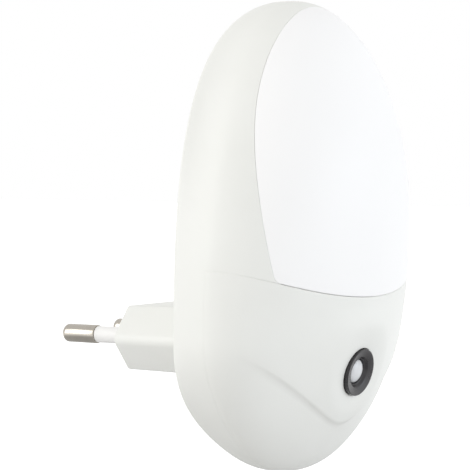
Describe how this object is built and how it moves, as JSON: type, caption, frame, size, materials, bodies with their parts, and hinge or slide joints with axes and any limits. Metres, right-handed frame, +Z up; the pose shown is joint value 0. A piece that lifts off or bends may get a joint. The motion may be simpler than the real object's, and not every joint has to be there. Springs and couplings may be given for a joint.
{
  "type": "plug-in night light",
  "caption": "Egg-shaped plug-in night light: white casing with a flat two-pin plug behind, opal diffuser above and a round dusk sensor below.",
  "frame": {"origin": "centre of the plug's engagement face, midway between the two pins", "axes": "+Y along the pins into the wall, -Y out of the front of the light, +Z up when it is plugged in"},
  "size_m": [0.068, 0.0745, 0.0987],
  "materials": {
    "casing_white": "satin moulded white plastic",
    "opal_diffuser": "smooth translucent opal plastic",
    "bezel_black": "black moulded plastic",
    "clear_lens": "clear moulded plastic",
    "photocell_face": "coated light cell",
    "nickel_pin": "nickel plate on brass",
    "sleeve_white": "white moulded insulation",
    "lead_brown": "brown insulation",
    "lead_blue": "blue insulation",
    "board_green": "green solder mask",
    "film_cap_yellow": "moulded box",
    "can_sleeve": "heat-shrunk sleeve",
    "package_black": "moulded package",
    "fuse_grey_green": "lacquered ceramic",
    "resistor_tan": "lacquered ceramic",
    "board_white": "white solder mask",
    "led_phosphor": "phosphor-filled resin",
    "reflector_white": "white moulded plastic",
    "link_red": "red insulation",
    "screw_steel": "zinc plate"
  },
  "bodies": {
    "root": {"rear_housing": "casing_white", "sensor_cover": "casing_white", "diffuser": "opal_diffuser", "sensor_bezel": "bezel_black", "bezel_retainer": "bezel_black", "sensor_lens": "clear_lens", "photocell": "photocell_face", "live_pin": "nickel_pin", "neutral_pin": "nickel_pin", "live_pin_sleeve": "sleeve_white", "neutral_pin_sleeve": "sleeve_white", "pin_plate": "casing_white", "live_lead": "lead_brown", "neutral_lead": "lead_blue", "driver_board": "board_green", "film_capacitor": "film_cap_yellow", "smoothing_capacitor": "can_sleeve", "bridge_rectifier": "package_black", "fusible_resistor": "fuse_grey_green", "carbon_resistors": "resistor_tan", "transistor": "package_black", "light_board": "board_white", "leds": "led_phosphor", "reflector": "reflector_white", "link_wires": "link_red", "cover_screws": "screw_steel", "board_screws": "screw_steel", "light_screws": "screw_steel"}
  },
  "joints": []
}
